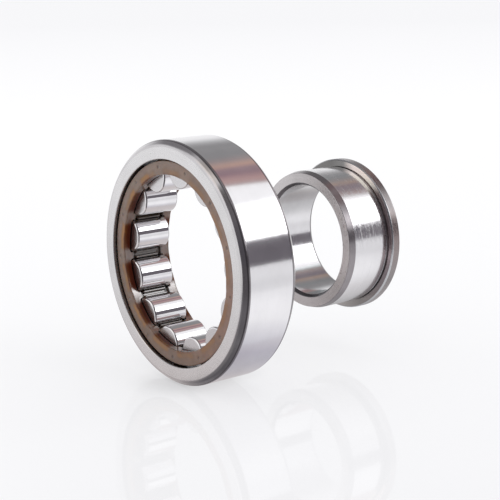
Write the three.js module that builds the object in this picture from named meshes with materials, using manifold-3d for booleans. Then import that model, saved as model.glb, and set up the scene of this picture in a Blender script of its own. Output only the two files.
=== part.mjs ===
// Separable cylindrical roller bearing, 30 x 62 x 16 mm, with an inner ring
// that has one integral flange.  The inner ring stands pulled out of the
// bearing along its axis, as it does when the bearing is taken apart.
//
// Millimetres, +Z up.  The bearing axis is the Y axis.  The origin is on it,
// in the middle of the gap between the two rings: the outer ring, cage and
// rollers lie towards -Y, the inner ring towards +Y with its flange end
// outermost.  The outer ring stands on z = -OUTER_D / 2.

import * as THREE from 'three';
import { mergeVertices } from 'three/addons/utils/BufferGeometryUtils.js';
import Module from 'manifold-3d';

const wasm = await Module();
wasm.setup();
const { Manifold, Mesh } = wasm;

// ---------------------------------------------------------------- sizes
// _D is a diameter, _Y a distance along the axis from the part's middle
// unless its comment says otherwise.

// boundary dimensions
const OUTER_D = 62;
const BORE_D = 30;
const WIDTH = 16;

// roller set
const ROLLERS = 13;
const ROLLER_D = 8.96;          // 9 mm roller, less its share of the running clearance
const ROLLER_L = 9.96;          // 10 mm roller, less its end clearance
const ROLLER_RIM = 0.45;        // bevelled rim of the end faces
const PITCH_D = 46.5;
const FIRST_ROLLER_DEG = 2;     // angle of roller 1 from +Z towards +X

// outer ring
const OUTER_RACEWAY_D = 55.58;
const OUTER_FLANGE_BORE_D = 52.5;
const OUTER_FLANGE_Y = 5.06;    // inside faces of its two flanges
const OUTER_CHAMFER_R = 1.0;    // outside corners, radial
const OUTER_CHAMFER_Y = 1.2;    // outside corners, axial
const OUTER_FLANGE_CHAMFER = 0.3;
const OUTER_RELIEF_W = 0.4;     // grinding reliefs in the raceway corners
const OUTER_RELIEF_DEPTH = 0.25;

// inner ring
const INNER_RACEWAY_D = 37.44;
const INNER_FLANGE_D = 41.4;
const INNER_FLANGE_Y = 13.1;    // flange face, from the free end of the ring
const INNER_LEAD_D = 36.5;      // lead-in taper at the free end
const INNER_LEAD_L = 1.8;
const INNER_FLANGE_CHAMFER = 0.35;
const INNER_RELIEF_W = 0.6;     // grinding relief beside the flange
const INNER_RELIEF_DEPTH = 0.3;
const BORE_CHAMFER_R = 0.6;     // radial
const BORE_CHAMFER_Y = 0.9;     // axial

// cage
const CAGE_OUTSIDE_D = 51.7;
const CAGE_BORE_D = 44.7;
const CAGE_Y = 7.1;             // half width over the side rings
const CAGE_EDGE = 0.25;         // chamfer of the side rings
const CAGE_LIP_D = 44.4;        // snap lips, inside the pitch circle so they hold the rollers
const CAGE_LIP_Y = 3.4;         // half length of the lips
const CAGE_NOTCH_D = 46.4;      // cross notches that free the lips from the side rings
const CAGE_NOTCH_Y = 4.2;       // outer ends of the notches
const CAGE_GROOVE_D = 46.2;     // bottom of the groove between the two lips of a bar
const CAGE_GROOVE_W = 0.7;
const GROOVE_OVERCUT_R = 0.6;   // groove cutter, inwards past the lips
const GROOVE_OVERCUT_Y = 0.3;   // groove cutter, past each end of the lips
const POCKET_D = 9.3;
const POCKET_L = 10.3;

// places along the axis
const GAP = 28;                                 // between the two rings
const OUTER_RING_Y = -(GAP + WIDTH) / 2;        // centre of the outer ring
const INNER_FREE_END_Y = GAP / 2;               // free end of the inner ring

const RING_SEGMENTS = 80;
const CAGE_SEGMENTS = 6 * ROLLERS;              // a whole number per pocket
const ROLLER_SEGMENTS = 26;

// ------------------------------------------------------------ materials
const ringSteel = new THREE.MeshStandardMaterial({
  name: 'ground_bearing_steel', color: 0xcfcdd0, roughness: 0.28, metalness: 1.0,
});
const rollerSteel = new THREE.MeshStandardMaterial({
  name: 'polished_roller_steel', color: 0xdedde0, roughness: 0.12, metalness: 1.0,
});
const cagePlastic = new THREE.MeshStandardMaterial({
  name: 'glass_filled_polyamide', color: 0x87715f, roughness: 0.45, metalness: 0.0,
});

// -------------------------------------------------------------- helpers
// a solid turned about Y from [radius, y] points
function turned(points, segments) {
  return new THREE.LatheGeometry(
    points.map(([radius, y]) => new THREE.Vector2(radius, y)),
    segments,
  );
}

// a turned ring; its outline is closed here, and is listed along the
// outside towards +Y, then back through the bore
function ring(outline, segments = RING_SEGMENTS) {
  return turned([...outline, outline[0]], segments);
}

// Manifold needs a closed mesh, so normals and uvs go and the seams are
// welded.  The geometry passed in is used up.
function toManifold(geometry) {
  geometry.deleteAttribute('normal');
  geometry.deleteAttribute('uv');
  const welded = mergeVertices(geometry, 1e-5);
  return new Manifold(new Mesh({
    numProp: 3,
    vertProperties: new Float32Array(welded.attributes.position.array),
    triVerts: new Uint32Array(welded.index.array),
  }));
}

function fromManifold(solid) {
  const { vertProperties, triVerts } = solid.getMesh();
  const geometry = new THREE.BufferGeometry();
  geometry.setAttribute(
    'position',
    new THREE.BufferAttribute(new Float32Array(vertProperties), 3),
  );
  geometry.setIndex(new THREE.BufferAttribute(new Uint32Array(triVerts), 1));
  geometry.computeVertexNormals();
  return geometry;
}

function named(name, geometry, material) {
  const mesh = new THREE.Mesh(geometry, material);
  mesh.name = name;
  return mesh;
}

// angle of a roller from +Z towards +X
function rollerAngle(i) {
  return THREE.MathUtils.degToRad(FIRST_ROLLER_DEG) + i * 2 * Math.PI / ROLLERS;
}

// centre of a roller and its pocket on the pitch circle
function rollerCentre(i) {
  const angle = rollerAngle(i);
  return [Math.sin(angle) * PITCH_D / 2, 0, Math.cos(angle) * PITCH_D / 2];
}

// ----------------------------------------------------------- outer ring
// two integral flanges guide the rollers; the raceway between them has a
// small grinding relief in each corner
function outerRing() {
  const rim = OUTER_D / 2;
  const end = WIDTH / 2;
  const race = OUTER_RACEWAY_D / 2;
  const relief = race + OUTER_RELIEF_DEPTH;
  const reliefY = OUTER_FLANGE_Y - OUTER_RELIEF_W;
  const bore = OUTER_FLANGE_BORE_D / 2;
  const chamfer = OUTER_FLANGE_CHAMFER;
  return ring([
    [rim, -end + OUTER_CHAMFER_Y],
    [rim, end - OUTER_CHAMFER_Y],
    [rim - OUTER_CHAMFER_R, end],
    [bore + chamfer, end],
    [bore, end - chamfer],
    [bore, OUTER_FLANGE_Y],
    [relief, OUTER_FLANGE_Y],
    [relief, reliefY],
    [race, reliefY],
    [race, -reliefY],
    [relief, -reliefY],
    [relief, -OUTER_FLANGE_Y],
    [bore, -OUTER_FLANGE_Y],
    [bore, -end + chamfer],
    [bore + chamfer, -end],
    [rim - OUTER_CHAMFER_R, -end],
  ]);
}

// ----------------------------------------------------------- inner ring
// free end (with the lead-in taper) at y = 0, flange at the other end
function innerRing() {
  const bore = BORE_D / 2;
  const race = INNER_RACEWAY_D / 2;
  const relief = race - INNER_RELIEF_DEPTH;
  const reliefY = INNER_FLANGE_Y - INNER_RELIEF_W;
  const rim = INNER_FLANGE_D / 2;
  const chamfer = INNER_FLANGE_CHAMFER;
  return ring([
    [INNER_LEAD_D / 2, 0],
    [race, INNER_LEAD_L],
    [race, reliefY],
    [relief, reliefY],
    [relief, INNER_FLANGE_Y],
    [rim - chamfer, INNER_FLANGE_Y],
    [rim, INNER_FLANGE_Y + chamfer],
    [rim, WIDTH - chamfer],
    [rim - chamfer, WIDTH],
    [bore + BORE_CHAMFER_R, WIDTH],
    [bore, WIDTH - BORE_CHAMFER_Y],
    [bore, BORE_CHAMFER_Y],
    [bore + BORE_CHAMFER_R, 0],
  ]);
}

// --------------------------------------------------------------- roller
function roller() {
  const radius = ROLLER_D / 2;
  const end = ROLLER_L / 2;
  return turned([
    [0, -end],
    [radius - ROLLER_RIM, -end],
    [radius, -end + ROLLER_RIM],
    [radius, end - ROLLER_RIM],
    [radius - ROLLER_RIM, end],
    [0, end],
  ], ROLLER_SEGMENTS);
}

// ----------------------------------------------------------------- cage
// the cage before its pockets and grooves are cut
function cageBlank() {
  const rim = CAGE_OUTSIDE_D / 2;
  const bore = CAGE_BORE_D / 2;
  const lip = CAGE_LIP_D / 2;
  const notch = CAGE_NOTCH_D / 2;
  return ring([
    [rim, -CAGE_Y + CAGE_EDGE],
    [rim, CAGE_Y - CAGE_EDGE],
    [rim - CAGE_EDGE, CAGE_Y],
    [bore + CAGE_EDGE, CAGE_Y],
    [bore, CAGE_Y - CAGE_EDGE],
    [bore, CAGE_NOTCH_Y],
    [notch, CAGE_NOTCH_Y],
    [notch, CAGE_LIP_Y],
    [lip, CAGE_LIP_Y],
    [lip, -CAGE_LIP_Y],
    [notch, -CAGE_LIP_Y],
    [notch, -CAGE_NOTCH_Y],
    [bore, -CAGE_NOTCH_Y],
    [bore, -CAGE_Y + CAGE_EDGE],
    [bore + CAGE_EDGE, -CAGE_Y],
    [rim - CAGE_EDGE, -CAGE_Y],
  ], CAGE_SEGMENTS);
}

function pocketCutter(i) {
  return new THREE.CylinderGeometry(POCKET_D / 2, POCKET_D / 2, POCKET_L, ROLLER_SEGMENTS)
    .translate(...rollerCentre(i));
}

// cuts the groove of the bar that follows roller i
function grooveCutter(i) {
  const bottom = CAGE_GROOVE_D / 2;
  const depth = bottom - CAGE_LIP_D / 2 + GROOVE_OVERCUT_R;
  const length = 2 * (CAGE_LIP_Y + GROOVE_OVERCUT_Y);
  return new THREE.BoxGeometry(CAGE_GROOVE_W, length, depth)
    .translate(0, 0, bottom - depth / 2)
    .rotateY(rollerAngle(i) + Math.PI / ROLLERS);
}

// one moulded window cage: two side rings joined by a bar between each two
// rollers; the bars' concave sides wrap each roller past the pitch circle, and
// each bar ends inside in two snap lips with a groove between them
function cage() {
  let body = toManifold(cageBlank());
  for (let i = 0; i < ROLLERS; i++) {
    body = body.subtract(toManifold(pocketCutter(i)));
    body = body.subtract(toManifold(grooveCutter(i)));
  }
  return fromManifold(body);
}

// ------------------------------------------------------------- assembly
// the cage with its rollers
function rollerSet() {
  const group = new THREE.Group();
  group.add(named('cage', cage(), cagePlastic));
  for (let i = 0; i < ROLLERS; i++) {
    const name = `roller_${String(i + 1).padStart(2, '0')}`;
    const piece = named(name, roller(), rollerSteel);
    piece.position.set(...rollerCentre(i));
    group.add(piece);
  }
  return group;
}

// the outer ring holds the cage, and the cage holds the rollers
const outerAssembly = new THREE.Group();
outerAssembly.position.y = OUTER_RING_Y;
outerAssembly.add(named('outer_ring', outerRing(), ringSteel));
outerAssembly.add(rollerSet());

const inner = named('inner_ring', innerRing(), ringSteel);
inner.position.y = INNER_FREE_END_Y;

const bearing = new THREE.Group();
bearing.add(outerAssembly, inner);

export default bearing;
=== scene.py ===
"""Cylindrical roller bearing: outer ring, flanged inner ring, rollers and a moulded cage.

The bearing stands on its outer ring, with its axis along Y through x = z = 0. Angles about
the axis run from +Z towards +X. Sizes are in millimetres until the vertices are written.
The camera looks from +X -Y, a little above.
"""
import math

import bmesh
import bpy
import numpy as np
from mathutils import Matrix, Vector


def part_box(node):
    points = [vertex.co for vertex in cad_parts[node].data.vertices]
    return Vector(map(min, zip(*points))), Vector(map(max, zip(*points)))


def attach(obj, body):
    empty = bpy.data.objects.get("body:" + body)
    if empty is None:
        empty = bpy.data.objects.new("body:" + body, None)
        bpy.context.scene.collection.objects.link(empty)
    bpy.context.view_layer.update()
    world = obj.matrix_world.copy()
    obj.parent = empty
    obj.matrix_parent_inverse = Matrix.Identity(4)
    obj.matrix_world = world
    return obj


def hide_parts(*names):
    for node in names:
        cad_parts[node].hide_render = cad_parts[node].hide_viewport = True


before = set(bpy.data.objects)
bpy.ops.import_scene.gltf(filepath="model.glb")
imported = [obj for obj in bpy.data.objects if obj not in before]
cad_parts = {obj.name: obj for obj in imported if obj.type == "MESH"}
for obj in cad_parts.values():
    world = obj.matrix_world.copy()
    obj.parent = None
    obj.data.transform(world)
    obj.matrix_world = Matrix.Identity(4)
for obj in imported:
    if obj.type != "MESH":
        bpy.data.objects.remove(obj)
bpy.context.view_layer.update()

MM = 0.001


# ------------------------------------------------------------------ places
def middle(node):
    """Centre of a node's box, in metres."""
    low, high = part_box(node)
    return tuple((low[axis] + high[axis]) / 2 for axis in range(3))


def size(node, axis):
    """Size of a node's box along one axis, in millimetres."""
    low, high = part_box(node)
    return (high[axis] - low[axis]) / MM


OUTER_Y = middle("outer_ring")[1] / MM
OUTER_R = size("outer_ring", 2) / 2
WIDTH = size("outer_ring", 1)
INNER_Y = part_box("inner_ring")[0][1] / MM
RIM_R = size("inner_ring", 2) / 2
FLOOR_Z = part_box("outer_ring")[0][2]

ROLLERS = sorted(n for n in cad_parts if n.startswith("roller_"))
COUNT = len(ROLLERS)
first_x, _, first_z = middle(ROLLERS[0])
PITCH_R = math.hypot(first_x, first_z) / MM
FIRST_ANGLE = math.atan2(first_x, first_z)
ROLLER_R = size(ROLLERS[0], 2) / 2
ROLLER_L = size(ROLLERS[0], 1)


# ------------------------------------------------------------- mesh helpers
def mesh_object(name, verts, faces, materials, slots=None, normals=None, smooth=True):
    mesh = bpy.data.meshes.new(name)
    mesh.from_pydata(np.asarray(verts, dtype=float).tolist(), [], faces)
    mesh.validate(verbose=False)
    for material in materials:
        mesh.materials.append(material)
    if slots is not None:
        mesh.polygons.foreach_set("material_index", np.asarray(slots, dtype=np.int32))
    mesh.polygons.foreach_set("use_smooth", np.full(len(mesh.polygons), smooth))
    mesh.update()
    if normals is not None:
        mesh.normals_split_custom_set_from_vertices(np.asarray(normals, dtype=float).tolist())
    ob = bpy.data.objects.new(name, mesh)
    bpy.context.scene.collection.objects.link(ob)
    return ob


def hand_over(ob, node):
    """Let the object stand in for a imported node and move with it."""
    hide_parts(node)
    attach(ob, node)


def quarter(steps, first=0):
    """Angles of a quarter turn cut into steps."""
    return [math.pi / 2 * k / steps for k in range(first, steps + 1)]


def revolve(profile, angles):
    """Turn (radius, y) pairs about Y, one copy of the profile for each angle."""
    radius, y = np.asarray(profile).T
    s, c = np.sin(angles)[:, None], np.cos(angles)[:, None]
    y = np.broadcast_to(y, (len(angles), len(y)))
    return np.stack([radius * s, y, radius * c], -1).reshape(-1, 3)


def rounded_profile(corners):
    """Round the corners of a closed profile that runs upwards (+Y) on the outside.

    Returns points, their outward normals and the material of the edge after each point.
    The outward normal of an edge (dr, dy) is (dy, -dr).
    """
    points, normals, materials = [], [], []
    for i, (r, y, fillet, steps, edge_material, fillet_material) in enumerate(corners):
        corner = np.array([r, y])
        before = np.array(corners[i - 1][:2])
        after = np.array(corners[(i + 1) % len(corners)][:2])
        way_in = (corner - before) / np.linalg.norm(corner - before)
        way_out = (after - corner) / np.linalg.norm(after - corner)
        normal_in = np.array([way_in[1], -way_in[0]])
        turn = math.acos(max(-1.0, min(1.0, float(way_in @ way_out))))
        start = corner - way_in * (fillet * math.tan(turn / 2))
        side = 1.0 if way_in[0] * way_out[1] - way_in[1] * way_out[0] > 0 else -1.0
        centre = start - normal_in * fillet * side
        for k in range(steps + 1):
            angle = turn * (k / steps)
            c, s = math.cos(angle), math.sin(angle) * side
            normal = np.array([normal_in[0] * c - normal_in[1] * s,
                               normal_in[0] * s + normal_in[1] * c])
            points.append(centre + normal * fillet * side)
            normals.append(normal)
            materials.append(fillet_material if k < steps else edge_material)
    return np.array(points), np.array(normals), materials


def lathe(name, corners, y0, materials, segments=512, longest=1.2):
    """A closed ring turned about Y. Long edges are split so that quads stay well shaped."""
    points, normals, edge_materials = rounded_profile(corners)
    profile, profile_normals, slots = [], [], []
    for i, point in enumerate(points):
        after = points[(i + 1) % len(points)]
        parts = max(1, int(np.linalg.norm(after - point) // longest))
        for k in range(parts):
            t = k / parts
            profile.append(point * (1 - t) + after * t)
            profile_normals.append(normals[i])
            slots.append(materials.index(edge_materials[i]))
    n = len(profile)
    angles = np.arange(segments) * 2 * math.pi / segments
    faces = []
    for j in range(segments):
        a, b = j * n, ((j + 1) % segments) * n
        for i in range(n):
            k = (i + 1) % n
            faces.append((a + i, b + i, b + k, a + k))
    verts = revolve(np.array(profile) + (0, y0), angles) * MM
    return mesh_object(name, verts, faces, materials, slots * segments,
                       revolve(profile_normals, angles))


# ----------------------------------------------------------- shader helpers
class Value:
    """An output of a shader node; arithmetic on it adds Math nodes."""

    def __init__(self, tree, socket):
        self.tree = tree
        self.socket = socket

    def math(self, operation, *others):
        inputs = dict(enumerate((self, *others)))
        return self.tree.add("ShaderNodeMath", inputs, operation=operation)

    def __add__(self, other):
        return self.math("ADD", other)

    def __sub__(self, other):
        return self.math("SUBTRACT", other)

    def __rsub__(self, other):
        return self.tree.add("ShaderNodeMath", {0: other, 1: self}, operation="SUBTRACT")

    def __mul__(self, other):
        return self.math("MULTIPLY", other)

    def __truediv__(self, other):
        return self.math("DIVIDE", other)

    def __pow__(self, other):
        return self.math("POWER", other)

    def __abs__(self):
        return self.math("ABSOLUTE")

    def times_plus(self, factor, addend):
        return self.math("MULTIPLY_ADD", factor, addend)

    def at_least(self, least):
        return self.math("MAXIMUM", least)

    def xyz(self):
        outputs = self.tree.node("ShaderNodeSeparateXYZ", {0: self}).outputs
        return [Value(self.tree, socket) for socket in outputs]

    def remap(self, start, end, first=0.0, last=1.0, kind="LINEAR"):
        """Goes from first to last as this value goes from start to end, and stops there."""
        return self.tree.add("ShaderNodeMapRange", {0: self, 1: start, 2: end, 3: first, 4: last},
                             interpolation_type=kind)

    def fade(self, start, end, first=0.0, last=1.0):
        """The same with soft ends."""
        return self.remap(start, end, first, last, "SMOOTHSTEP")

    def noise(self, scale, detail, rough):
        return self.tree.add("ShaderNodeTexNoise", {
            "Vector": self, "Scale": scale, "Detail": detail, "Roughness": rough})

    def ramp(self, stops):
        """stops: (position, colour)."""
        node = self.tree.node("ShaderNodeValToRGB", {0: self})
        elements = node.color_ramp.elements
        while len(elements) > 1:
            elements.remove(elements[0])
        elements[0].position = stops[0][0]
        elements[0].color = (*stops[0][1], 1)
        for position, colour in stops[1:]:
            elements.new(position).color = (*colour, 1)
        return Value(self.tree, node.outputs[0])


class Tree:
    """The emptied node tree of a material or world."""

    def __init__(self, owner):
        owner.use_nodes = True
        self.owner = owner
        self.nodes = owner.node_tree.nodes
        self.links = owner.node_tree.links
        self.nodes.clear()

    def node(self, kind, inputs={}, **settings):
        node = self.nodes.new(kind)
        for key, setting in settings.items():
            setattr(node, key, setting)
        for key, value in inputs.items():
            socket = node.inputs[key]
            if isinstance(value, Value):
                self.links.new(value.socket, socket)
            else:
                socket.default_value = (*value, 1) if socket.type == "RGBA" else value
        return node

    def add(self, kind, inputs={}, output=0, **settings):
        return Value(self, self.node(kind, inputs, **settings).outputs[output])

    def vector(self, x, y, z):
        return self.add("ShaderNodeCombineXYZ", {0: x, 1: y, 2: z})

    def mix(self, factor, a, b, blend="MIX"):
        return self.add("ShaderNodeMix", {"Factor": factor, 6: a, 7: b}, output=2,
                        data_type="RGBA", blend_type=blend)

    def multiply(self, a, b):
        return self.mix(1.0, a, b, "MULTIPLY")

    def bump(self, height, distance):
        return self.add("ShaderNodeBump", {
            "Strength": 1.0, "Distance": distance * MM, "Height": height})

    def point(self, y0=0):
        """Object coordinates in millimetres, with y counted from y0."""
        place = self.add("ShaderNodeTexCoord", output="Object")
        return self.add("ShaderNodeVectorMath", {0: place, 1: (1000, 1000, 1000), 2: (0, -y0, 0)},
                        operation="MULTIPLY_ADD")

    def surface(self, shader):
        """Finish a material with this shader."""
        self.node("ShaderNodeOutputMaterial", {0: shader})
        return self.owner


def new_material(name):
    return Tree(bpy.data.materials.new(name))


def hypot(a, b):
    return (a * a + b * b).math("SQRT")


def turned_coords(point, lay, around):
    """Coordinates for marks left by turning about Y: slow round the circle, fast across it.

    Returns them with the radius and y."""
    x, y, z = point.xyz()
    r = hypot(x, z)
    divisor = r.at_least(0.05)
    across = (r + y) * lay
    return point.tree.vector(x / divisor * around, across, z / divisor * around), r, y


def round_axis(point, stops):
    """A factor that changes with the angle about Y.

    stops: (degrees from +Z towards +X, grey value or colour)."""
    x, _, z = point.xyz()
    turn = x.math("ARCTAN2", z).remap(-math.pi, math.pi)
    return turn.ramp([((degrees + 180) / 360, (c, c, c) if isinstance(c, float) else c)
                      for degrees, c in stops])


# ------------------------------------------------------------------- steels
def steel(name, base, rough, spread, lay, around, groove, aniso, stain=0.03, sectors=None):
    """Bearing steel with turned or ground marks, slow drift in colour and faint spots.

    rough, spread: roughness and how far it strays; lay, around: marks across and round the
    circle; groove: depth of the marks in mm; aniso: stretch of reflections; stain: drift in
    colour; sectors: painted reflections and shade, as colour that changes round the axis.
    """
    tree = new_material(name)
    point = tree.point()
    fine = turned_coords(point, lay, around)[0].noise(1.0, 3.0, 0.6)
    coarse = turned_coords(point, lay * 0.23, around * 0.6)[0].noise(1.0, 2.0, 0.5)
    cloud = point.noise(scale=0.16, detail=3.0, rough=0.55)
    spot = point.noise(scale=1.4, detail=4.0, rough=0.7)
    lines = fine * 0.65 + coarse * 0.35
    colour = tree.mix(cloud.remap(0.3, 0.7), tuple(c * (1 - stain) for c in base),
                      tuple(min(1, c * (1 + stain)) for c in base))
    colour = tree.mix(lines.remap(0.35, 0.65) * 0.10, colour, tuple(c * 0.72 for c in base))
    # painted reflections and shade: the colour is multiplied by a factor round the axis
    if sectors:
        colour = tree.multiply(colour, round_axis(point, sectors))
    roughness = (lines.remap(0.3, 0.7, rough - spread, rough + spread)
                 + spot.remap(0.35, 0.75, -spread * 0.4, spread * 0.6))
    return tree.surface(tree.add("ShaderNodeBsdfPrincipled", {
        "Base Color": colour,
        "Metallic": 1.0,
        "Roughness": roughness.at_least(0.02),
        "Anisotropic": aniso,
        "Tangent": tree.add("ShaderNodeTangent", direction_type="RADIAL", axis="Y"),
        "Normal": tree.bump(lines, groove),
    }))


GROUND = steel("steel_ground_cylinder", base=(0.80, 0.79, 0.80), rough=0.10, spread=0.03,
               lay=9.0, around=5.0, groove=0.0012, aniso=0.55)
FACE = steel("steel_ground_face", base=(0.71, 0.70, 0.705), rough=0.28, spread=0.04,
             lay=7.0, around=5.0, groove=0.0008, aniso=0.35, stain=0.035)
CORNER = steel("steel_rounded_corner", base=(0.60, 0.585, 0.595), rough=0.17, spread=0.05,
               lay=5.0, around=4.0, groove=0.004, aniso=0.2, stain=0.08)
# a darker copy of CORNER: painted dark reflection along the rounding where the outside meets each
# corner
CORNER_PAINTED_DARK_BAND = steel("steel_corner_painted_dark_band", base=(0.27, 0.255, 0.265), rough=0.20, spread=0.05,
                  lay=5.0, around=4.0, groove=0.004, aniso=0.2, stain=0.10)
DARK = steel("steel_hardened_turned_edge", base=(0.20, 0.19, 0.20), rough=0.36, spread=0.06,
             lay=5.0, around=4.0, groove=0.006, aniso=0.2, stain=0.15)
TURNED = steel("steel_turned_bore", base=(0.52, 0.525, 0.54), rough=0.27, spread=0.06,
               lay=4.0, around=4.0, groove=0.006, aniso=0.4, stain=0.05)
TAPER = steel("steel_turned_taper", base=(0.29, 0.27, 0.28), rough=0.22, spread=0.06,
              lay=5.0, around=4.0, groove=0.005, aniso=0.35, stain=0.10)
# painted reflection: a darker cyan-grey arc from 14° to 47° round the axis
RACE = steel("steel_honed_raceway", base=(0.80, 0.79, 0.80), rough=0.19, spread=0.11,
             lay=9.0, around=2.0, groove=0.0035, aniso=0.3, sectors=[
                 (-180, 1.0), (14, 1.0), (31, (0.76, 0.88, 0.89)), (40, (0.76, 0.90, 0.91)),
                 (47, 1.0), (180, 1.0)])
# painted reflection and shade: a darker cyan-grey arc from -165° to -134° round the axis, and
# slightly darker from -40° round through the bottom
BORE = steel("steel_ground_bore", base=(0.80, 0.79, 0.80), rough=0.14, spread=0.05,
             lay=8.0, around=4.0, groove=0.0015, aniso=0.5, stain=0.06, sectors=[
                 (-180, 0.9), (-165, 0.9), (-149, (0.66, 0.80, 0.81)), (-140, (0.70, 0.86, 0.86)),
                 (-134, 1.0), (-60, 1.0), (-40, 0.88), (180, 0.9)])
# painted reflection: much lighter from 65° to 100° round the axis, darker near 150°
INNER_FACE = steel("steel_ground_inner_face", base=(0.60, 0.575, 0.58), rough=0.30, spread=0.06,
                   lay=6.0, around=4.0, groove=0.004, aniso=0.35, stain=0.05, sectors=[
                       (-180, 0.92), (0, 0.98), (30, 1.05), (65, 1.60), (100, 1.62),
                       (125, 1.02), (150, 0.82), (180, 0.92)])
# painted reflection and shade: darker from 44° to 62° round the axis and lighter past 138°, with
# a reddish tint near 80°
FLANGE = steel("steel_flange_rim", base=(0.34, 0.315, 0.315), rough=0.28, spread=0.08,
               lay=5.0, around=4.0, groove=0.006, aniso=0.45, stain=0.10, sectors=[
                   (-180, 1.1), (-10, 0.8), (24, 1.15), (44, 0.45), (62, 0.48),
                   (80, (0.86, 0.76, 0.74)), (118, 0.85), (138, 1.35), (180, 1.3)])
# painted highlight and shade: a bright base made dark round most of the axis, leaving a warm
# bright arc from 15° to 36°
FLANGE_FACE = steel("steel_flange_face", base=(0.94, 0.92, 0.905), rough=0.20, spread=0.08,
                    lay=9.0, around=3.0, groove=0.004, aniso=0.35, stain=0.06, sectors=[
                        (-180, 0.44), (-10, 0.19), (4, 0.26), (15, (1.03, 0.94, 0.90)),
                        (36, (1.06, 0.92, 0.86)), (50, (0.58, 0.50, 0.49)),
                        (80, (0.80, 0.68, 0.69)), (105, (0.35, 0.30, 0.31)),
                        (155, 0.28), (180, 0.46)])


# -------------------------------------------------------------------- rings
# corners: radius, y, fillet radius, fillet steps, material of the edge that leaves the
# corner, material of the fillet
def make_outer_ring():
    half = WIDTH / 2
    race_r, race_y = 27.79, 5.06 - 0.4
    lip_r, lip_y = 26.25, 5.06
    relief_r = race_r + 0.25        # groove at each end of the raceway
    side_y = half - 1.3             # where the outside starts to turn into the faces
    face_r = OUTER_R - 1.15
    lip_edge = 0.16
    ring = lathe("outer_ring_finish", [
        (OUTER_R, -side_y, 1.1, 10, GROUND, CORNER_PAINTED_DARK_BAND),
        (OUTER_R, side_y, 1.1, 10, CORNER, CORNER_PAINTED_DARK_BAND),
        (face_r, half, 1.3, 12, FACE, CORNER),
        (lip_r + lip_edge, half, 0.08, 4, FACE, FACE),
        (lip_r, half - lip_edge, 0.08, 4, TURNED, FACE),
        (lip_r, lip_y, 0.12, 4, FACE, DARK),
        (relief_r, lip_y, 0.10, 3, DARK, DARK),
        (relief_r, race_y, 0.10, 3, DARK, DARK),
        (race_r, race_y, 0.06, 3, RACE, RACE),
        (race_r, -race_y, 0.06, 3, DARK, RACE),
        (relief_r, -race_y, 0.10, 3, DARK, DARK),
        (relief_r, -lip_y, 0.10, 3, FACE, DARK),
        (lip_r, -lip_y, 0.12, 4, TURNED, DARK),
        (lip_r, -half + lip_edge, 0.08, 4, FACE, FACE),
        (lip_r + lip_edge, -half, 0.08, 4, FACE, FACE),
        (face_r, -half, 1.3, 12, CORNER, CORNER),
    ], OUTER_Y, [GROUND, FACE, DARK, TURNED, RACE, CORNER, CORNER_PAINTED_DARK_BAND])
    hand_over(ring, "outer_ring")


def make_inner_ring():
    """Counted from the ring's -Y face; the flange is at the +Y end."""
    lead_r, lead_length = 18.25, 1.8        # taper at the -Y end
    race_r = 18.72
    flange_y = 13.1
    relief_r, relief_y = race_r - 0.3, flange_y - 0.6
    rim_edge = 0.35
    bore_r = 15.0
    bore_edge_r, bore_edge_y = bore_r + 0.6, 0.9
    ring = lathe("inner_ring_finish", [
        (lead_r, 0, 0.10, 4, TAPER, TAPER),
        (race_r, lead_length, 0.30, 4, RACE, RACE),
        (race_r, relief_y, 0.06, 3, DARK, RACE),
        (relief_r, relief_y, 0.12, 3, TURNED, DARK),
        (relief_r, flange_y, 0.12, 3, FLANGE_FACE, TURNED),
        (RIM_R - rim_edge, flange_y, 0.15, 4, TURNED, FLANGE_FACE),
        (RIM_R, flange_y + rim_edge, 0.32, 8, FLANGE, TURNED),
        (RIM_R, WIDTH - rim_edge, 0.15, 4, DARK, DARK),
        (RIM_R - rim_edge, WIDTH, 0.15, 4, INNER_FACE, DARK),
        (bore_edge_r, WIDTH, 0.2, 4, DARK, DARK),
        (bore_r, WIDTH - bore_edge_y, 0.2, 4, BORE, DARK),
        (bore_r, bore_edge_y, 0.2, 4, DARK, DARK),
        (bore_edge_r, 0, 0.2, 4, INNER_FACE, DARK),
    ], INNER_Y, [RACE, INNER_FACE, DARK, BORE, FLANGE, FLANGE_FACE, TURNED, TAPER])
    hand_over(ring, "inner_ring")


make_outer_ring()
make_inner_ring()


# ------------------------------------------------------------------ rollers
def roller_material():
    """Bright barrel, duller flat ends."""
    tree = new_material("steel_superfinished_roller")
    point = tree.point()
    marks, r, y = turned_coords(point, lay=10.0, around=5.0)
    fine = marks.noise(1.0, 3.0, 0.6)
    cloud = point.noise(scale=0.35, detail=3.0, rough=0.5)
    flat = (r.remap(ROLLER_R - 0.55, ROLLER_R - 0.35, 1.0, 0.0)
            * abs(y).remap(ROLLER_L / 2 - 0.2, ROLLER_L / 2 - 0.1))
    colour = tree.mix(cloud.remap(0.3, 0.7), (0.77, 0.76, 0.77), (0.82, 0.81, 0.82))
    colour = tree.mix(flat * fine.remap(0.3, 0.7, 0.55, 1.0), colour, (0.60, 0.59, 0.60))
    return tree.surface(tree.add("ShaderNodeBsdfPrincipled", {
        "Base Color": colour,
        "Metallic": 1.0,
        "Roughness": flat.remap(0, 1, 0.035, 0.24) + fine.remap(0.3, 0.7, 0.0, 0.03),
        "Normal": tree.bump(fine, 0.0010),
    }))


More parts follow.
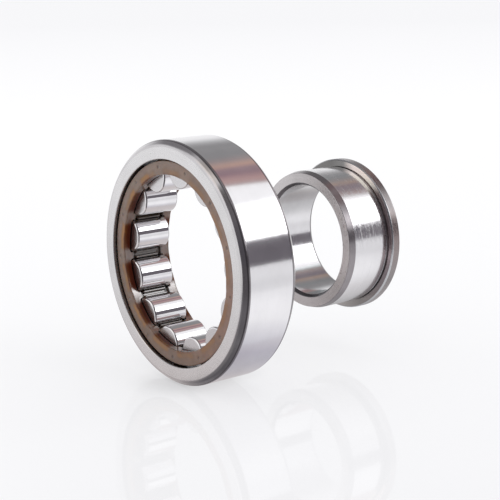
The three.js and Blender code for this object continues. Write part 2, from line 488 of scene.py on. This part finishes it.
def roller_profile(dish_depth):
    """(radius, y) and normals from the centre of one end to the centre of the other."""
    half = ROLLER_L / 2
    dish_r, rim, crown = 1.3, 0.5, 0.012
    profile = [(r, -half + dish_depth * (1 - (r / dish_r) ** 2) ** 2)
               for r in (0.35, 0.7, 1.05, dish_r)]
    profile += [(r, -half) for r in (1.6, 2.2, 2.8, 3.4, ROLLER_R - 0.62)]
    normals = [(0.0, -1.0)] * len(profile)
    for angle in quarter(8):
        c, s = math.cos(angle), math.sin(angle)
        profile.append((ROLLER_R - rim - crown + rim * s, -half + rim - rim * c))
        normals.append((s, -c))
    for from_end in (0.9, 1.4, 2.0, 3.0, 4.0):
        y = -half + from_end
        profile.append((ROLLER_R - crown * (abs(y) / half) ** 6, y))
        normals.append((1.0, 0.0))
    profile.append((ROLLER_R, 0.0))
    normals.append((1.0, 0.0))
    profile += [(r, -y) for r, y in profile[-2::-1]]
    normals += [(r, -y) for r, y in normals[-2::-1]]
    return profile, normals


def roller_object(name, centre, turn, material):
    """A closed barrel with a slight crown, rounded rims and flat ends with a shallow dish."""
    dish_depth, segments = 0.05, 96
    profile, normals = roller_profile(dish_depth)
    n = len(profile)
    angles = np.arange(segments) * 2 * math.pi / segments + turn
    end_y = ROLLER_L / 2 - dish_depth
    verts = np.vstack([revolve(profile, angles), [(0, -end_y, 0), (0, end_y, 0)]])
    normals = np.vstack([revolve(normals, angles), [(0, -1, 0), (0, 1, 0)]])
    low_centre, high_centre = segments * n, segments * n + 1
    faces = []
    for j in range(segments):
        a, b = j * n, ((j + 1) % segments) * n
        for i in range(n - 1):
            faces.append((a + i, b + i, b + i + 1, a + i + 1))
        faces.append((low_centre, b, a))
        faces.append((high_centre, a + n - 1, b + n - 1))
    ob = mesh_object(name, verts * MM, faces, [material], None, normals)
    ob.location = centre
    return ob


def make_rollers():
    material = roller_material()
    for i, node in enumerate(ROLLERS):
        roller = roller_object(node + "_finish", middle(node), 0.37 * i, material)
        hand_over(roller, node)


make_rollers()

# --------------------------------------------------------------------- cage
# Two side rings joined by bars, with a window (pocket) for each roller. One sector is
# centred on a window and reaches to the middle of the bars beside it; phi is the angle
# from the window's middle, y is counted from the middle of the width.
CAGE_OUT = size("cage", 2) / 2
CAGE_H = size("cage", 1) / 2
CAGE_IN = 22.35
LIP_IN = 22.2          # bore radius at the snap lips
LIP_END = 3.45         # y where the lips stop
NOTCH_END = 4.15       # y where the side ring's land starts
NOTCH_R = 23.2
GROOVE_R = 23.1        # groove along the middle of each bar
GROOVE_HALF = 0.35
POCKET_R = 4.65
POCKET_Y = 5.15
POCKET_CORNER = 0.6
EDGE = 0.25            # rounding of the outside edges
LIP_EDGE = 0.2         # rounding of the window's inside edge
MARK_R = 24.35         # radius at which the ejector marks lie
BORE_ARC_R = 22.4      # radius at which arcs along the bore are measured
SECTOR = math.pi / COUNT    # half the angle of a sector

# y of the points along a window's long side, one half
HALF_SIDE_Y = [0.25, 0.8, 1.35, 1.9, 2.45, 2.9, 3.16, 3.28, 3.345, 3.405,
               3.46, 3.53, 3.7, 3.92, 4.06, 4.12, 4.17, 4.22, 4.27, 4.42]
SIDE_Y = np.array([-y for y in HALF_SIDE_Y[::-1]] + HALF_SIDE_Y)
# steps beside a bar's middle, fine enough for its ejector mark
NEAR = np.array([0.14, 0.27, 0.38, 0.46, 0.54, 0.72]) / MARK_R
N_SIDE, N_TOP, N_CORNER = len(SIDE_Y), 30, 3 + len(NEAR)
TOTAL = 2 * (N_SIDE + N_TOP) + 4 * N_CORNER
TOP_PHI = np.linspace(SECTOR - 1.0 / MARK_R, -SECTOR + 1.0 / MARK_R, N_TOP)


def smoothstep(start, end, x):
    t = np.clip((np.asarray(x, float) - start) / (end - start), 0, 1)
    return t * t * (3 - 2 * t)


def bar_arc(phi, radius):
    """Distance along the circle from the middle of the nearest bar."""
    return (SECTOR - np.abs(phi)) * radius


def inner_radius(phi, y):
    """Bore of the side rings, with the notches, lips and groove of each bar."""
    arc = bar_arc(phi, BORE_ARC_R)
    y = np.abs(y)
    groove = smoothstep(GROOVE_HALF + 0.09, GROOVE_HALF - 0.11, arc)
    lip = LIP_IN + (GROOVE_R - LIP_IN) * groove
    notch = smoothstep(NOTCH_END + 0.13, NOTCH_END - 0.05, y)
    radius = CAGE_IN * (1 - notch) + NOTCH_R * notch
    t = smoothstep(LIP_END + 0.05, LIP_END - 0.12, y)
    return radius * (1 - t) + lip * t


def bore_edge(phi):
    """Rounding of the bore's edge: a little more over the bars than over the pockets."""
    return 0.25 + 0.16 * smoothstep(2.0, 0.7, bar_arc(phi, BORE_ARC_R))


def ejector_mark(phi, r):
    """Depth of the marks on the side faces, one over each bar."""
    return 0.16 * smoothstep(0.52, 0.36, np.hypot(bar_arc(phi, r), r - MARK_R))


def window_outline(radius, grow):
    """Rounded window at a radius (one, or one for each point), grown by grow, as (phi, y)."""
    radius = np.broadcast_to(np.asarray(radius, float), (TOTAL,))
    cosine = (radius * radius + PITCH_R ** 2 - POCKET_R ** 2) / (2 * PITCH_R * radius)
    half_arc = np.arccos(np.clip(cosine, -1, 1)) * radius + grow
    half_y = POCKET_Y + grow
    corner = POCKET_CORNER + grow
    arc, y = np.empty(TOTAL), np.empty(TOTAL)
    turn = (np.arange(N_CORNER) + 0.5) / N_CORNER * math.pi / 2
    across = np.linspace(1, -1, N_TOP)
    i = 0
    for sign in (1, -1):
        part = slice(i, i + N_SIDE)                 # a long side
        arc[part] = sign * half_arc[part]
        y[part] = sign * SIDE_Y
        i += N_SIDE
        part = slice(i, i + N_CORNER)
        arc[part] = sign * ((half_arc[part] - corner) + corner * np.cos(turn))
        y[part] = sign * ((half_y - corner) + corner * np.sin(turn))
        i += N_CORNER
        part = slice(i, i + N_TOP)                  # an end
        arc[part] = sign * across * (half_arc[part] - corner)
        y[part] = sign * half_y
        i += N_TOP
        part = slice(i, i + N_CORNER)
        arc[part] = -sign * ((half_arc[part] - corner) + corner * np.sin(turn))
        y[part] = sign * ((half_y - corner) + corner * np.cos(turn))
        i += N_CORNER
    return arc / radius, y


def sector_outline(edge):
    """Outline of one sector, point for point with the window. edge(phi) is the rounding."""
    phi, y = [], []
    corner_phi = [SECTOR] * 3 + [SECTOR - step for step in NEAR]
    corner_y = [5.2, 6.0] + [CAGE_H - edge(p) for p in corner_phi[2:]]
    for sign in (1, -1):
        phi += [sign * SECTOR] * N_SIDE
        y += list(sign * SIDE_Y)
        phi += [sign * p for p in corner_phi]
        y += [sign * v for v in corner_y]
        phi += [sign * p for p in TOP_PHI]
        y += [sign * (CAGE_H - edge(p)) for p in TOP_PHI]
        phi += [-sign * p for p in corner_phi[::-1]]
        y += [sign * v for v in corner_y[::-1]]
    return np.array(phi), np.array(y, float)


def wall_rings():
    """Loops (phi, y, radius) over the outside, through the window and over the bore."""
    rings = []
    out_phi, out_y = sector_outline(lambda phi: EDGE)
    window_phi, window_y = window_outline(CAGE_OUT, EDGE)
    for k in range(5):                          # outside skin, sector outline to window
        t = k / 5
        rings.append((out_phi * (1 - t) + window_phi * t, out_y * (1 - t) + window_y * t,
                      np.full(TOTAL, CAGE_OUT)))
    for angle in quarter(4):                    # window edge, outside
        radius = CAGE_OUT - EDGE * (1 - math.cos(angle))
        phi, y = window_outline(radius, EDGE * (1 - math.sin(angle)))
        rings.append((phi, y, np.full(TOTAL, radius)))
    # the bottom of the wall follows the bore and the lips
    phi, y = window_outline(CAGE_IN, LIP_EDGE)
    for _ in range(4):
        phi, y = window_outline(inner_radius(phi, y), LIP_EDGE)
    bottom = inner_radius(phi, y)
    for k in range(1, 12):
        t = k / 11
        radius = (CAGE_OUT - EDGE) * (1 - t) + (bottom + LIP_EDGE) * t
        rings.append((*window_outline(radius, 0.0), radius))
    for angle in quarter(4, first=1):           # window edge, inside
        radius = bottom + LIP_EDGE * (1 - math.sin(angle))
        phi, y = window_outline(radius, LIP_EDGE * (1 - math.cos(angle)))
        rings.append((phi, y, radius))
    rings[-1] = (phi, y, inner_radius(phi, y))
    window_phi, window_y = phi, y
    in_phi, in_y = sector_outline(bore_edge)
    # inside skin, window to sector outline
    for t in (0.2, 0.38, 0.46, 0.52, 0.58, 0.64, 0.70, 0.78, 0.88, 1.0):
        phi, y = window_phi * (1 - t) + in_phi * t, window_y * (1 - t) + in_y * t
        rings.append((phi, y, inner_radius(phi, y)))
    return np.array(rings).transpose(0, 2, 1)


def side_face(phi):
    """Rows (phi, y, radius) over the side face at +Y, with its rounded edges."""
    edge = bore_edge(phi)
    rows = []
    for angle in quarter(4):
        rows.append((np.full(phi.shape, CAGE_H - EDGE * (1 - math.sin(angle))),
                     np.full(phi.shape, CAGE_OUT - EDGE * (1 - math.cos(angle)))))
    for k in range(1, 18):
        t = k / 18
        radius = (CAGE_OUT - EDGE) * (1 - t) + (CAGE_IN + edge) * t
        rows.append((CAGE_H - ejector_mark(phi, radius), radius))
    for angle in quarter(6):
        rows.append((CAGE_H - edge * (1 - math.cos(angle)),
                     CAGE_IN + edge * (1 - math.sin(angle))))
    return np.array([np.stack([phi, y, radius], -1) for y, radius in rows])


def cage_sector():
    """Vertices (phi, y, radius) and faces of one sector."""
    rings = wall_rings()
    m, n = rings.shape[:2]
    verts, faces = [rings.reshape(-1, 3)], []
    for i in range(m - 1):
        for j in range(n):
            k = (j + 1) % n
            faces.append((i * n + j, i * n + k, (i + 1) * n + k, (i + 1) * n + j))
    base = m * n
    side = side_face(np.array([SECTOR] + [SECTOR - step for step in NEAR] + list(TOP_PHI)
                              + [-SECTOR + step for step in NEAR[::-1]] + [-SECTOR]))
    m, n = side.shape[:2]
    for sign in (1, -1):
        verts.append((side * (1, sign, 1)).reshape(-1, 3))
        for i in range(m - 1):
            for j in range(n - 1):
                a, b = base + i * n + j, base + (i + 1) * n + j
                quad = (a, b, b + 1, a + 1)
                faces.append(quad if sign > 0 else quad[::-1])
        base += m * n
    return np.vstack(verts), faces


def cage_object(material):
    """All sectors side by side, welded."""
    sector, sector_faces = cage_sector()
    verts, faces = [], []
    for i in range(COUNT):
        phi = sector[:, 0] + FIRST_ANGLE + i * 2 * SECTOR
        verts.append(np.stack([sector[:, 2] * np.sin(phi), sector[:, 1] + OUTER_Y,
                               sector[:, 2] * np.cos(phi)], -1))
        faces += [tuple(v + i * len(sector) for v in face) for face in sector_faces]
    ob = mesh_object("cage_finish", np.vstack(verts) * MM, faces, [material])
    bm = bmesh.new()
    bm.from_mesh(ob.data)
    bmesh.ops.remove_doubles(bm, verts=bm.verts, dist=2e-6)
    bmesh.ops.recalc_face_normals(bm, faces=bm.faces)
    for face in bm.faces:
        face.smooth = True
    bm.to_mesh(ob.data)
    bm.free()
    return ob


def cage_colour(tree, point, r, from_middle, arc, pocket, cloud, fibre):
    """Brown side faces, with painted light and shade: an amber glow of light through the thin
    wall, and painted shade from red-brown to nearly black inside.
    """
    spots = point.noise(scale=0.30, detail=1.5, rough=0.5)
    body = tree.mix(cloud.remap(0.3, 0.7), (0.145, 0.095, 0.069), (0.215, 0.147, 0.110))
    body = tree.mix(fibre.remap(0.45, 0.75) * 0.35, body, (0.30, 0.24, 0.19))
    # painted light and shade: lighter round the +X side, from 60° to 110°, and darker towards the
    # bottom
    body = tree.multiply(body, round_axis(point, [
        (-180, (0.82, 0.76, 0.75)), (-150, (0.90, 0.84, 0.80)), (-90, (1.0, 1.02, 1.08)),
        (20, (1.06, 1.02, 1.0)), (60, (1.20, 1.10, 1.08)), (110, (1.22, 1.02, 0.98)),
        (140, (1.06, 0.88, 0.82)), (180, (0.82, 0.76, 0.75))]))
    # how strongly the painted glow and painted shade show, round the axis and over the pockets
    shade = round_axis(point, [
        (-180, 0.62), (-150, 0.75), (-125, 1.0), (-30, 1.0), (-5, 0.45), (100, 0.40),
        (150, 0.50), (180, 0.62)]) * pocket.times_plus(0.88, 0.12)
    # painted bands by radius, with wandering borders: warm brown and an amber glow of light
    # through the thin wall, then painted shade at the bore's edge
    wall = r + cloud.remap(0.3, 0.7, -0.24, 0.24)
    patch = spots.fade(0.36, 0.56, 0.45, 1.0) * arc.fade(1.2, 2.8, 0.10, 1.0)
    colour = tree.mix(wall.fade(24.7, 23.4, 0.0, 0.65) * shade, body, (0.120, 0.062, 0.032))
    colour = tree.mix(wall.fade(24.15, 23.25) * patch * shade, colour, (0.265, 0.112, 0.014))
    colour = tree.mix(wall.fade(22.95, 22.35) * (shade * 0.92), colour, (0.088, 0.022, 0.006))
    # painted shade: dark red away from the side faces, then near-black brown over the bars
    inside = from_middle.fade(CAGE_H - 0.35, CAGE_H - 1.15)
    colour = tree.mix(inside * pocket.times_plus(0.66, 0.32), colour, (0.072, 0.012, 0.004))
    bar = from_middle.fade(POCKET_Y + 0.1, NOTCH_END)
    colour = tree.mix(bar * 0.85, colour, (0.050, 0.034, 0.024))
    # the ejector marks
    distance = (arc * arc + (r - MARK_R) ** 2.0).math("SQRT")
    mark = distance.remap(0.34, 0.52, 1.0, 0.0) * from_middle.remap(CAGE_H - 0.3, CAGE_H - 0.2)
    return tree.mix(mark * 0.55, colour, (0.055, 0.028, 0.018))


def cage_material():
    """Glass-filled polyamide, slightly see-through, with fibres and grain in the skin."""
    tree = new_material("glass_filled_polyamide")
    point = tree.point(OUTER_Y)
    x, y, z = point.xyz()
    r = hypot(x, z)
    angle = x.math("ARCTAN2", z)
    from_middle = abs(y)
    cloud = point.noise(scale=0.35, detail=3.0, rough=0.6)
    fibre = tree.vector(angle * 40.0, y * 14.0, r * 14.0).noise(1.0, 4.0, 0.7)
    grain = point.noise(scale=9.0, detail=3.0, rough=0.6)
    # distance along the circle from the middle of the nearest bar; 20 steps keep it positive
    step = 2 * math.pi / COUNT
    turn = ((angle - (FIRST_ANGLE - 20 * step)) / step).math("FRACT") - 0.5
    arc = abs(turn * (r * step))
    # 1 over the pockets, 0 over the bars
    pocket = arc.fade(1.1, 2.6)
    # 1 on the side faces; the bore and the bars are shinier
    face = from_middle.remap(CAGE_H - 0.3, CAGE_H - 0.02)
    skin = (grain * 0.5 + fibre * 0.5).remap(0.3, 0.7)
    gloss = pocket.times_plus(-0.92, 1.0) * round_axis(point, [
        (-180, 0.40), (-150, 0.55), (-136, 1.0), (-110, 1.0), (-100, 0.50), (-82, 0.32),
        (-68, 0.15), (0, 0.3), (180, 0.4)])
    return tree.surface(tree.add("ShaderNodeBsdfPrincipled", {
        "Base Color": cage_colour(tree, point, r, from_middle, arc, pocket, cloud, fibre),
        "Roughness": face.times_plus(0.20, 0.13) + skin * 0.12,
        "IOR": 1.58,
        "Coat Weight": (1.0 - face) * gloss,
        "Coat IOR": 2.3,
        "Coat Roughness": 0.08,
        "Specular IOR Level": ((1.0 - face) * pocket).times_plus(-0.38, 0.5),
        "Subsurface Weight": 0.25,
        "Subsurface Radius": (1.0, 0.35, 0.12),
        "Subsurface Scale": 0.0008,
        "Normal": tree.bump(fibre * 0.7 + grain * 0.3, 0.010),
    }))


hand_over(cage_object(cage_material()), "cage")


# -------------------------------------------------------------------- floor
def floor_in_steel(tree, x, y, dy, distance, away):
    """Floor colour in reflections, with painted shade and shadow near the bearing and towards the
    camera. away: distance towards the camera.
    """
    # painted shade by distance from the bearing, darkest close by, on the +X and on the -X side
    high_x = (distance / 250.0).ramp([
        (0.0, (0.51, 0.50, 0.56)), (0.11, (0.60, 0.59, 0.66)), (0.165, (0.87, 0.865, 0.91)),
        (0.21, (1.06, 1.06, 1.08)), (0.27, (1.07, 1.07, 1.09)), (0.38, (0.99, 0.99, 1.01)),
        (0.48, (0.93, 0.93, 0.95)), (0.60, (0.88, 0.88, 0.90)), (0.76, (0.91, 0.91, 0.93)),
        (1.0, (0.96, 0.96, 0.98))])
    low_x = (distance / 320.0).ramp([
        (0.0, (0.80, 0.745, 0.735)), (0.13, (0.79, 0.745, 0.745)), (0.20, (0.80, 0.785, 0.79)),
        (0.42, (0.87, 0.865, 0.87)), (0.78, (0.98, 0.98, 0.985)), (1.0, (1.0, 1.0, 1.01))])
    seen = tree.mix((x + y * 0.3).fade(-6, 22), low_x, high_x)
    # painted shadow: a darker round patch on the +Y side
    patch = hypot(x + 6.0, y - 50.0).fade(8, 46, 0.56, 1.0)
    seen = tree.multiply(seen, tree.vector(patch, patch, patch))
    # painted shadow, dark on the -Y side close by, and painted shade far towards the camera
    near = y.fade(-31, -25, 1, 0) * (x.fade(-3, 12) * distance.fade(90, 140, 1, 0))
    seen = tree.mix(near, seen, (0.165, 0.157, 0.17))
    across = abs(x * 0.612 + dy * 0.791)
    dim = away.fade(62, 105) * (across / away.at_least(1.0)).fade(0.55, 1.0, 1, 0)
    return tree.mix(dim, seen, (0.11, 0.10, 0.11))


def floor_plain(tree, x, y, away):
    """Floor colour seen directly: painted light, a little brighter behind the bearing than near
    or far.
    """
    depth = (away * -1.0 + 140.0).at_least(10.0).math("LOGARITHM", 10.0)
    plain = depth.remap(1.5, 4.0).ramp([
        (0.0, (0.955, 0.955, 0.970)), (0.26, (0.965, 0.965, 0.978)), (0.42, (0.995, 0.995, 1.0)),
        (0.56, (1.01, 1.01, 1.012)), (0.68, (0.968, 0.968, 0.980)),
        (0.80, (0.928, 0.928, 0.942)), (1.0, (0.926, 0.926, 0.940))])
    # the narrow shadow along the line the ring stands on
    beyond = (abs(y - OUTER_Y) - (WIDTH / 2 - 1)).at_least(0.0)
    contact = hypot(x, beyond).fade(0.0, 14.0, 0.82, 1.0)
    return tree.multiply(plain, tree.vector(contact, contact, contact))


def floor_material():
    """Pale glossy table that glows a little."""
    tree = new_material("glossy_white_floor")
    x, y, _ = tree.point().xyz()
    dy = y - (OUTER_Y - 4)
    away = x * 0.791 + dy * -0.612
    seen = floor_in_steel(tree, x, y, dy, hypot(x, dy), away)
    in_reflection = tree.add("ShaderNodeLightPath", output="Is Glossy Ray")
    colour = tree.mix(in_reflection, floor_plain(tree, x, y, away), seen)
    diffuse = tree.add("ShaderNodeBsdfDiffuse", {
        "Color": tree.multiply(colour, (0.27, 0.27, 0.27))})
    glow = tree.add("ShaderNodeEmission", {"Color": colour, "Strength": 0.70})
    body = tree.add("ShaderNodeAddShader", {0: diffuse, 1: glow})
    gloss = tree.add("ShaderNodeBsdfGlossy", {"Color": (1, 1, 1), "Roughness": 0.025})
    return tree.surface(tree.add("ShaderNodeMixShader", {0: 0.085, 1: body, 2: gloss}))


def make_floor(half=30.0):
    corners = [(-half, -half), (half, -half), (half, half), (-half, half)]
    mesh_object("studio_floor", [(x, y, FLOOR_Z) for x, y in corners],
                         [(0, 1, 2, 3)], [floor_material()], smooth=False)


make_floor()


# -------------------------------------------------------------------- world
def band(value, limits, soft):
    """1 between the limits, fading over soft on each side of them."""
    start, end = limits
    return value.fade(start - soft, start + soft) * value.fade(end - soft, end + soft, 1, 0)


def studio_colour(tree, direction, glossy_depth):
    """The studio as reflections see it: cards by azimuth and elevation in degrees."""
    x, y, z = direction.xyz()
    degrees = 180 / math.pi
    elevation = z.math("ARCSINE") * degrees
    azimuth = x.math("ARCTAN2", y) * degrees            # 0 at +Y, 90 at +X
    front = x.math("ARCTAN2", y * -1.0) * degrees       # 0 at -Y, 90 at +X
    wobble = direction.noise(scale=2.2, detail=3.0, rough=0.55)
    streak = tree.vector(azimuth * 0.075, elevation * 0.16, 3.7).noise(1.0, 2.5, 0.55)

    def card(behind, around, height, soft, colour):
        mask = band(azimuth, around, soft[0]) * band(elevation, height, soft[1])
        return tree.mix(mask, behind, colour)

    def front_card(behind, around, above, soft, colour):
        mask = band(front, around, soft[0]) * elevation.fade(above - soft[1], above + soft[1])
        return tree.mix(mask, behind, colour)

    sky = elevation.remap(0, 90).ramp([
        (0.0, (0.97, 0.97, 0.98)), (0.5, (0.92, 0.92, 0.94)), (1.0, (0.80, 0.80, 0.82))])
    # grey card towards -X +Y
    grey = tree.mix(wobble.remap(0.35, 0.65), (0.255, 0.255, 0.262), (0.33, 0.325, 0.332))
    sky = card(sky, around=(-66, -14), height=(23, 78), soft=(7, 10), colour=grey)
    # warm card towards +Y, carried on above the white panel
    warm = azimuth.remap(-36, 16).ramp([
        (0.0, (0.27, 0.265, 0.275)), (0.20, (0.34, 0.295, 0.295)), (0.35, (0.62, 0.39, 0.305)),
        (0.47, (0.32, 0.222, 0.255)), (0.62, (0.31, 0.212, 0.245)), (0.83, (0.55, 0.345, 0.33)),
        (1.0, (0.45, 0.36, 0.36))])
    warm = tree.mix(streak.remap(0.35, 0.65, 0.0, 0.45), warm, (0.44, 0.36, 0.36))
    sky = card(sky, around=(-30, 15), height=(26, 78), soft=(4, 6), colour=warm)
    sky = card(sky, around=(8, 75), height=(53, 72), soft=(4, 1.5), colour=warm)
    # dark gap over the horizon
    gap = tree.mix(wobble.remap(0.3, 0.7), (0.135, 0.122, 0.142), (0.18, 0.165, 0.185))
    sky = card(sky, around=(18, 100), height=(-8, 19.2), soft=(8, 0.8), colour=gap)
    # white panel towards +X +Y, brightest in its lower part and at the first reflection
    panel = tree.mix(glossy_depth.math("LESS_THAN", 1.5), (1.15, 1.15, 1.16), (3.6, 3.6, 3.65))
    panel = tree.mix(elevation.remap(36, 44), panel, (1.10, 1.10, 1.12))
    sky = card(sky, around=(15, 76), height=(19.8, 53.5), soft=(1.5, 0.7), colour=panel)
    # on the -Y side: a light card, a grey one towards -X and a dark one overhead
    light = tree.mix(elevation.remap(24, 46), (1.12, 1.11, 1.13), (1.18, 1.10, 1.03))
    sky = front_card(sky, around=(-36, 4), above=12, soft=(5, 4), colour=light)
    sky = front_card(sky, around=(-108, -50), above=22, soft=(6, 9), colour=(0.27, 0.262, 0.275))
    sky = front_card(sky, around=(-62, 60), above=59, soft=(10, 4), colour=(0.10, 0.09, 0.095))
    # the dim viewer's side, +X -Y
    viewer = elevation.remap(0, 50).ramp([
        (0.0, (0.090, 0.083, 0.095)), (0.24, (0.094, 0.086, 0.10)), (0.45, (0.135, 0.127, 0.14)),
        (0.68, (0.17, 0.16, 0.175)), (1.0, (0.15, 0.138, 0.138))])
    return card(sky, around=(92, 172), height=(-90, 54), soft=(5, 4), colour=viewer)


def make_world():
    """Cards for reflections, a plain backdrop for the camera and even diffuse light."""
    world = bpy.data.worlds.new("studio")
    bpy.context.scene.world = world
    tree = Tree(world)
    direction = tree.add("ShaderNodeTexCoord", output="Generated")
    ray = tree.node("ShaderNodeLightPath").outputs
    colour = studio_colour(tree, direction, Value(tree, ray["Glossy Depth"]))
    colour = tree.mix(Value(tree, ray["Is Camera Ray"]), colour, (0.975, 0.975, 0.985))
    colour = tree.mix(Value(tree, ray["Is Diffuse Ray"]), colour, (1.04, 1.04, 1.06))
    background = tree.add("ShaderNodeBackground", {"Color": colour, "Strength": 1.0})
    tree.node("ShaderNodeOutputWorld", {0: background})
    world.cycles.sampling_method = "MANUAL"
    world.cycles.sample_map_resolution = 512


make_world()


# ------------------------------------------------------------------- camera
def make_camera():
    """Looks at the bearing's middle, then is shifted sideways and up."""
    azimuth, elevation, roll = map(math.radians, (52.281, 12.476, -0.789))   # from -Y to +X
    distance, shift_right, shift_up = 300.301, 13.840, 2.490
    data = bpy.data.cameras.new("camera")
    data.sensor_width = 36
    data.lens = 85.606056
    data.clip_start, data.clip_end = 0.01, 20
    camera = bpy.data.objects.new("camera", data)
    bpy.context.scene.collection.objects.link(camera)
    back = Vector((math.sin(azimuth) * math.cos(elevation),
                   -math.cos(azimuth) * math.cos(elevation), math.sin(elevation)))
    level = Vector((math.cos(azimuth), math.sin(azimuth), 0))
    upright = back.cross(level)
    right = level * math.cos(roll) + upright * math.sin(roll)
    up = -level * math.sin(roll) + upright * math.cos(roll)
    place = (back * distance + right * shift_right + up * shift_up) * MM
    place += Vector((0, OUTER_Y * MM, 0))
    rows = [(right[i], up[i], back[i], place[i]) for i in range(3)]
    camera.matrix_world = Matrix((*rows, (0, 0, 0, 1)))
    bpy.context.scene.camera = camera


make_camera()
bpy.context.scene.view_settings.view_transform = "Standard"
bpy.context.scene.view_settings.look = "None"
